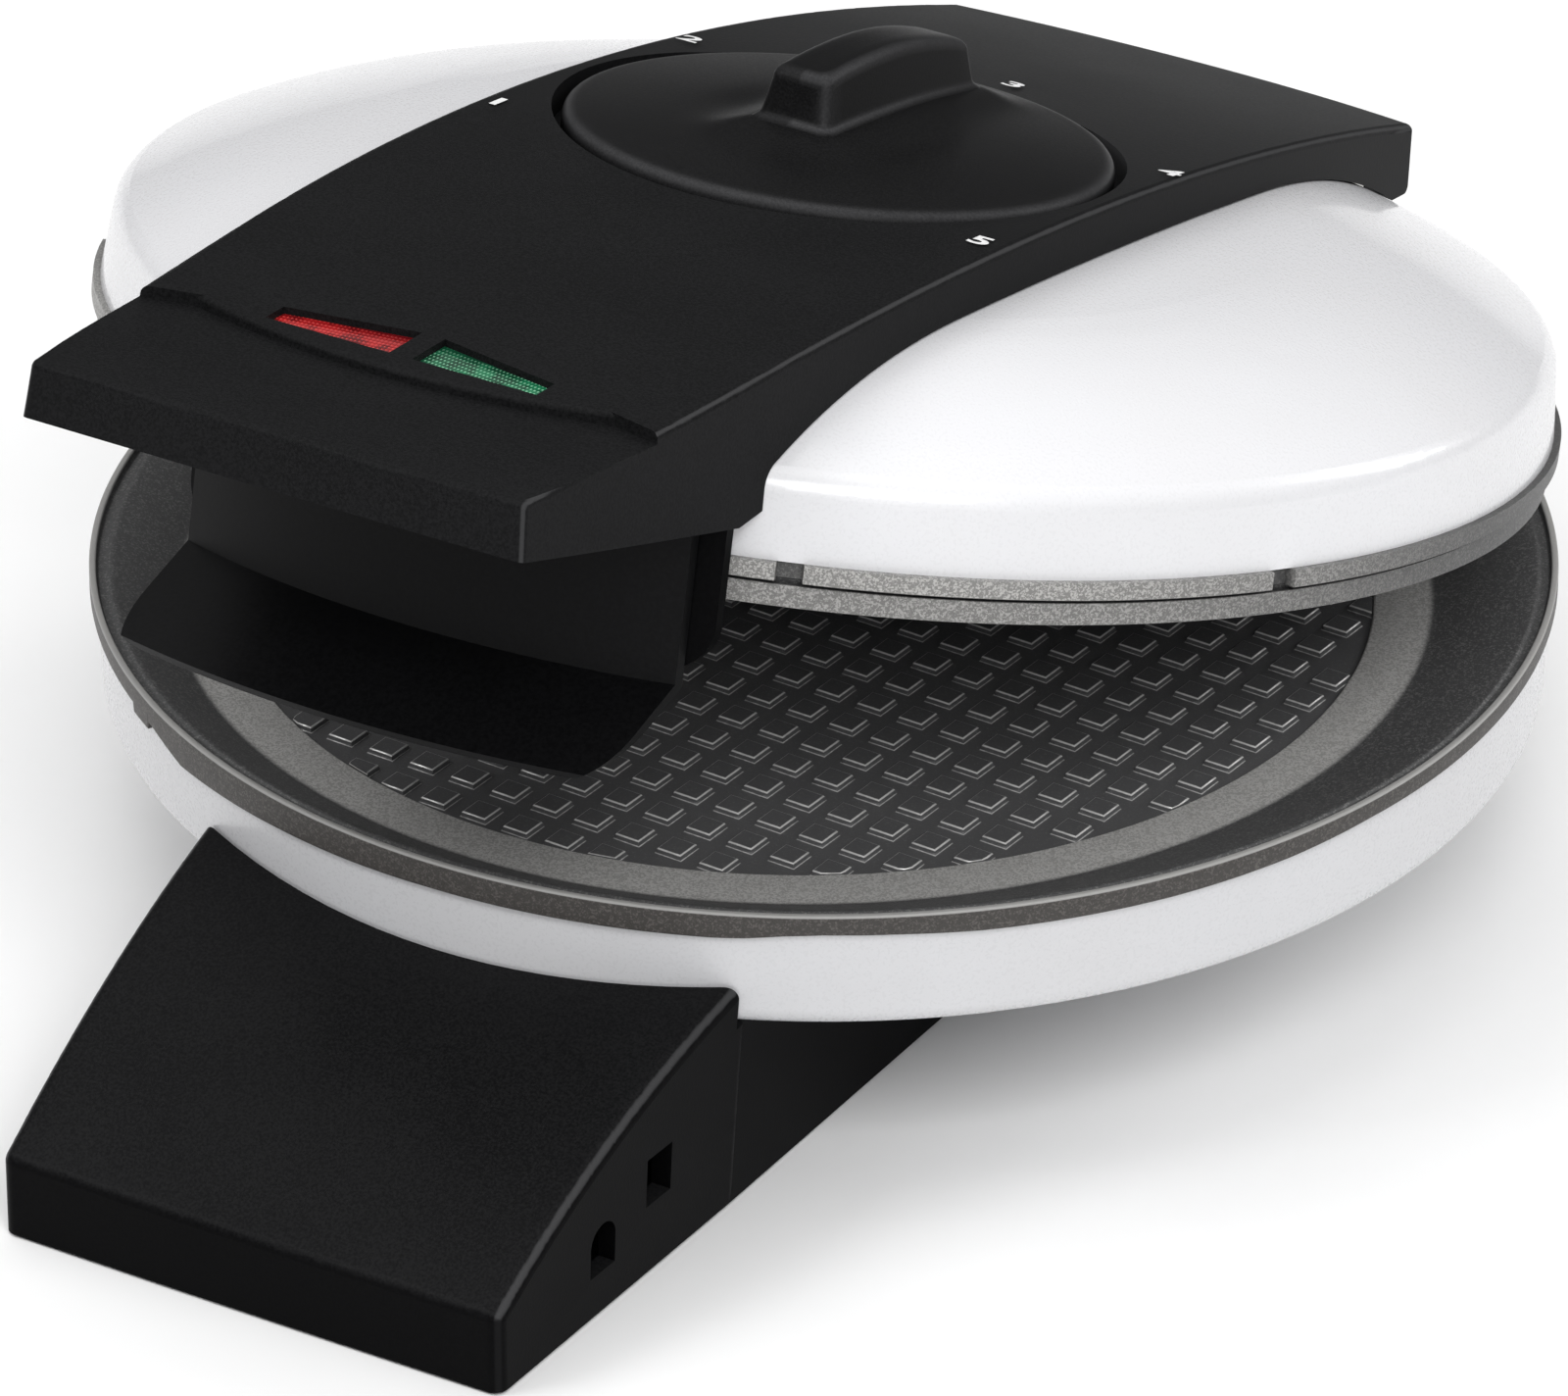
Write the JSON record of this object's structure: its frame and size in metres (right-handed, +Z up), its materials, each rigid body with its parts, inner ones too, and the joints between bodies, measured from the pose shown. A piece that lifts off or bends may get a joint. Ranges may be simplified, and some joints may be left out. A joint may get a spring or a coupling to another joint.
{
  "type": "stroopwafel maker",
  "caption": "Round stroopwafel iron with a rear-hinged lid, white steel shells, pad-patterned baking plates, a black bridge handle with lamps and a browning dial, and a black base.",
  "frame": {"origin": "on the table under the middle of the overall length and width, lid open at its rest pose", "axes": "+Z up, -Y towards the handle and the front of the foot, +Y towards the hinge, +X to the right seen from the handle"},
  "size_m": [0.21, 0.273, 0.1307],
  "materials": {
    "black_plastic": "fine grained matt black moulding",
    "shield_plastic": "smoother satin black moulding",
    "white_steel": "glossy white lacquer on sheet steel",
    "coated_plate": "dark grey speckled non-stick coating on cast aluminium",
    "element_steel": "dull heat-darkened steel tube",
    "bright_sheet": "bright rolled sheet",
    "screw_steel": "zinc-plated steel",
    "rubber": "matt black rubber",
    "switch_body": "pale heat-proof moulding",
    "red_clear": "clear red, ribbed inside",
    "green_clear": "clear green, ribbed inside",
    "lamp_glass": "small neon lamps"
  },
  "bodies": {
    "base": {"base_housing": "black_plastic", "base_cover": "black_plastic", "base_screws": "screw_steel", "rubber_feet": "rubber", "plate_screws": "screw_steel", "terminal_block": "switch_body", "cord_gland": "rubber", "hinge_pin": "screw_steel", "lower_shell": "white_steel", "lower_plate": "coated_plate", "lower_element": "element_steel", "lower_reflector": "bright_sheet"},
    "lid": {"upper_plate": "coated_plate", "upper_shell": "white_steel", "lid_screws": "screw_steel", "upper_element": "element_steel", "upper_reflector": "bright_sheet", "thermostat": "switch_body", "bridge_cover": "black_plastic", "cover_screws": "screw_steel", "handle_underside": "black_plastic", "handle_screws": "screw_steel", "inner_wall": "shield_plastic", "front_shield": "shield_plastic", "hinge_arm": "black_plastic", "arm_screws": "screw_steel", "red_lens": "red_clear", "green_lens": "green_clear", "lamp_holder": "switch_body", "signal_lamps": "lamp_glass"},
    "dial": {"dial_knob": "black_plastic", "dial_spindle": "screw_steel"}
  },
  "joints": [
    {"name": "lid_hinge", "type": "hinge", "parent": "base", "child": "lid", "pos_m": [0, 0.1295, 0.062], "axis": [-1, 0, 0], "range_deg": [-12.5, 82.5]},
    {"name": "dial_turn", "type": "hinge", "parent": "lid", "child": "dial", "pos_m": [0, 0.01841, 0.10839], "axis": [0, 0.2164, 0.9763], "range_deg": [-126, 126]}
  ]
}
